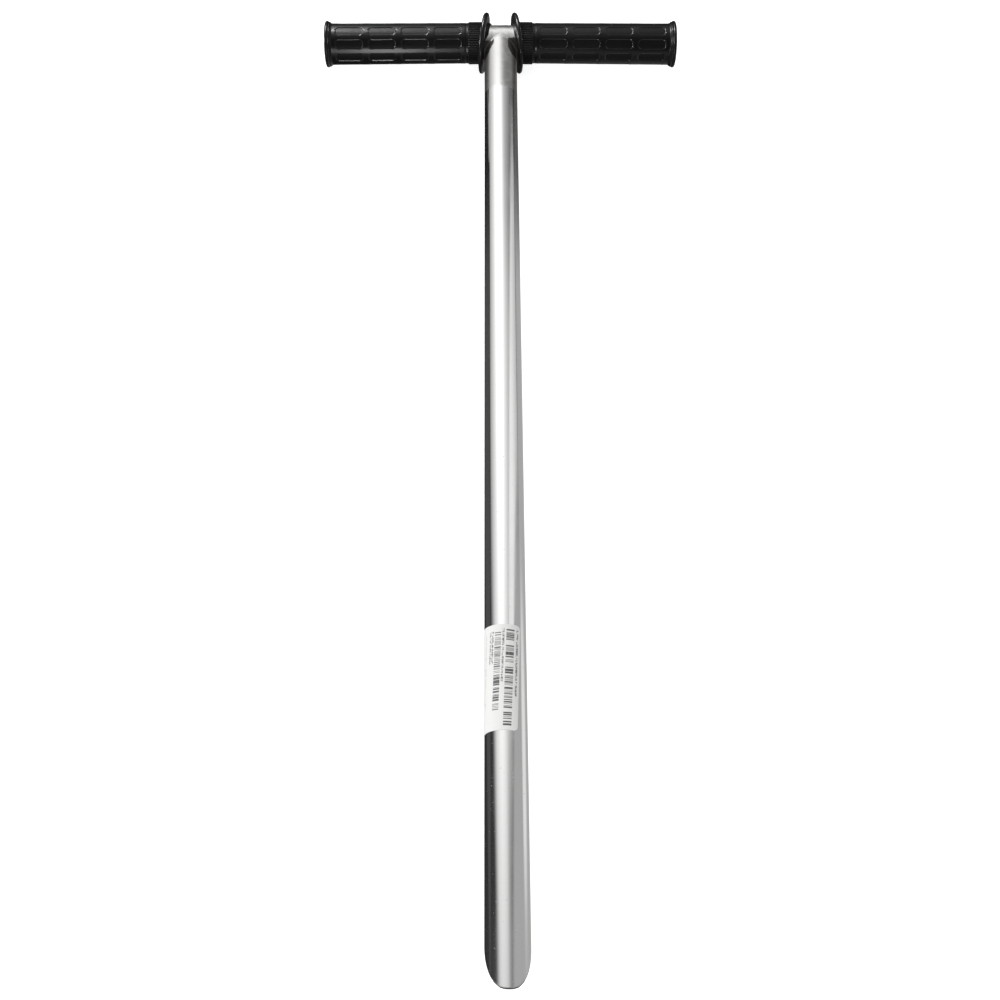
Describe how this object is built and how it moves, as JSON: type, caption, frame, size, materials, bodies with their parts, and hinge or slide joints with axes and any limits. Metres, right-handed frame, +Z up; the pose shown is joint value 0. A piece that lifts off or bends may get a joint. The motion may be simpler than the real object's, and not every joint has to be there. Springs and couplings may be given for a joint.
{
  "type": "soil sampling probe",
  "caption": "T-handled soil probe: a steel tube, cut open along its lower end and ground to a tongue, is pushed down by ribbed grips and drawn up with a core of soil.",
  "frame": {"origin": "on the surface that the probe lies on, under the middle of its bounding box", "axes": "+X along the handle bar, +Y from the tongue towards the handle bar, +Z up; the probe lies with its open side down"},
  "size_m": [0.2736, 0.7402, 0.0458],
  "materials": {
    "polished_steel": "polished stainless tube, satin near the weld",
    "brushed_steel": "brushed stainless tube",
    "weld_metal": "dressed weld bead",
    "grip_rubber": "black moulded rubber, matt in the windows and smoother on the ribs",
    "label_paper": "white paper sticker with plain bars"
  },
  "bodies": {
    "root": {"sampling_tube": "polished_steel", "handle_bar": "brushed_steel", "saddle_weld": "weld_metal", "left_grip": "grip_rubber", "right_grip": "grip_rubber", "paper_label": "label_paper"}
  },
  "joints": []
}
